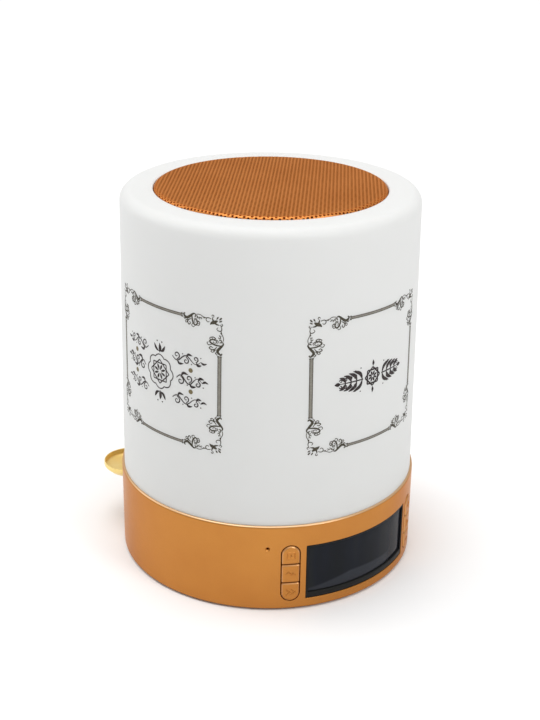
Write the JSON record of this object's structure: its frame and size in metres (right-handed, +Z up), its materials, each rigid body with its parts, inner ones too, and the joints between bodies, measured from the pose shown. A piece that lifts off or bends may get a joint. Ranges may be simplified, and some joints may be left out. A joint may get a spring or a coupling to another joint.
{
  "type": "azan clock lamp speaker",
  "caption": "Round table clock with a white lamp shade, a speaker under a perforated copper top, a curved display and side buttons in a copper base.",
  "frame": {"origin": "middle of the rubber pad's underside, on the surface the clock stands on", "axes": "+Z up; the display faces -Y; +X is to the right of someone looking at the display"},
  "size_m": [0.125, 0.1254, 0.1584],
  "materials": {
    "copper_paint": "satin metallic copper paint over moulded plastic",
    "shade_white": "matt translucent white moulding with a printed border",
    "grille_copper": "perforated steel with satin copper lacquer",
    "black_plastic": "fine-textured black moulding",
    "smoked_lens": "polished smoked acrylic",
    "display_glass": "dark liquid-crystal glass",
    "black_rubber": "soft matt rubber",
    "polished_gold": "polished gold plate",
    "plated_steel": "zinc plated",
    "circuit_board": "green solder mask",
    "component_black": "moulded component cases",
    "white_plastic": "plain white moulding",
    "cell_wrap": "lithium cell in a shrink wrap",
    "ferrite": "sintered ferrite",
    "cone_paper": "pressed black paper",
    "acoustic_cloth": "open black weave",
    "lead_jacket": "smooth insulation"
  },
  "bodies": {
    "clock": {"base_housing": "copper_paint", "bottom_cover": "black_plastic", "base_pad": "black_rubber", "cover_screws": "plated_steel", "lcd_bezel": "black_plastic", "lcd_lens": "smoked_lens", "lcd_glass": "display_glass", "lcd_holder": "black_plastic", "display_board": "circuit_board", "button_frame_left": "black_plastic", "button_frame_right": "black_plastic", "button_board_left": "circuit_board", "button_board_right": "circuit_board", "tact_switches": "component_black", "mic_boot": "black_rubber", "microphone": "plated_steel", "main_board": "circuit_board", "board_screws": "plated_steel", "board_components": "component_black", "usb_socket": "plated_steel", "card_socket": "plated_steel", "power_switch": "component_black", "battery_cell": "cell_wrap", "battery_holder": "black_plastic", "battery_contacts": "plated_steel", "dish_guide": "black_plastic", "reflector_plate": "white_plastic", "led_board": "white_plastic", "led_chips": "display_glass", "conduit": "white_plastic", "speaker_lead": "lead_jacket", "shade": "shade_white", "shade_screws": "plated_steel", "speaker_carrier": "white_plastic", "carrier_screws": "plated_steel", "speaker_gasket": "black_rubber", "speaker_basket": "plated_steel", "speaker_washer": "plated_steel", "speaker_magnet": "ferrite", "speaker_yoke": "plated_steel", "speaker_spider": "acoustic_cloth", "speaker_surround": "black_rubber", "speaker_screws": "plated_steel", "speaker_grille": "grille_copper", "grille_cloth": "acoustic_cloth"},
    "button_left_bottom": {"button_left_bottom": "copper_paint"},
    "button_left_middle": {"button_left_middle": "copper_paint"},
    "button_left_top": {"button_left_top": "copper_paint"},
    "button_right_bottom": {"button_right_bottom": "copper_paint"},
    "button_right_middle": {"button_right_middle": "copper_paint"},
    "button_right_top": {"button_right_top": "copper_paint"},
    "power_slider": {"power_slider": "component_black"},
    "scent_dish": {"scent_dish": "polished_gold"},
    "cone": {"speaker_cone": "cone_paper", "dust_cap": "cone_paper", "voice_coil": "component_black"}
  },
  "joints": [
    {"name": "press_left_bottom", "type": "slide", "parent": "clock", "child": "button_left_bottom", "axis": [0.5232, 0.8522, 0], "range_m": [0, 0.0006], "stiffness_N_per_m": 400},
    {"name": "press_left_middle", "type": "slide", "parent": "clock", "child": "button_left_middle", "axis": [0.5232, 0.8522, 0], "range_m": [0, 0.0006], "stiffness_N_per_m": 400},
    {"name": "press_left_top", "type": "slide", "parent": "clock", "child": "button_left_top", "axis": [0.5232, 0.8522, 0], "range_m": [0, 0.0006], "stiffness_N_per_m": 400},
    {"name": "press_right_bottom", "type": "slide", "parent": "clock", "child": "button_right_bottom", "axis": [-0.5232, 0.8522, 0], "range_m": [0, 0.0006], "stiffness_N_per_m": 400},
    {"name": "press_right_middle", "type": "slide", "parent": "clock", "child": "button_right_middle", "axis": [-0.5232, 0.8522, 0], "range_m": [0, 0.0006], "stiffness_N_per_m": 400},
    {"name": "press_right_top", "type": "slide", "parent": "clock", "child": "button_right_top", "axis": [-0.5232, 0.8522, 0], "range_m": [0, 0.0006], "stiffness_N_per_m": 400},
    {"name": "power_switch_slide", "type": "slide", "parent": "clock", "child": "power_slider", "axis": [1, 0, 0], "range_m": [0, 0.002]},
    {"name": "dish_slide", "type": "slide", "parent": "clock", "child": "scent_dish", "axis": [0.5821, -0.8131, 0], "range_m": [0, 0.012]},
    {"name": "cone_travel", "type": "slide", "parent": "clock", "child": "cone", "axis": [0, 0, 1], "range_m": [-0.001, 0.001], "stiffness_N_per_m": 1500, "deforming": ["speaker_surround", "speaker_spider"]}
  ]
}
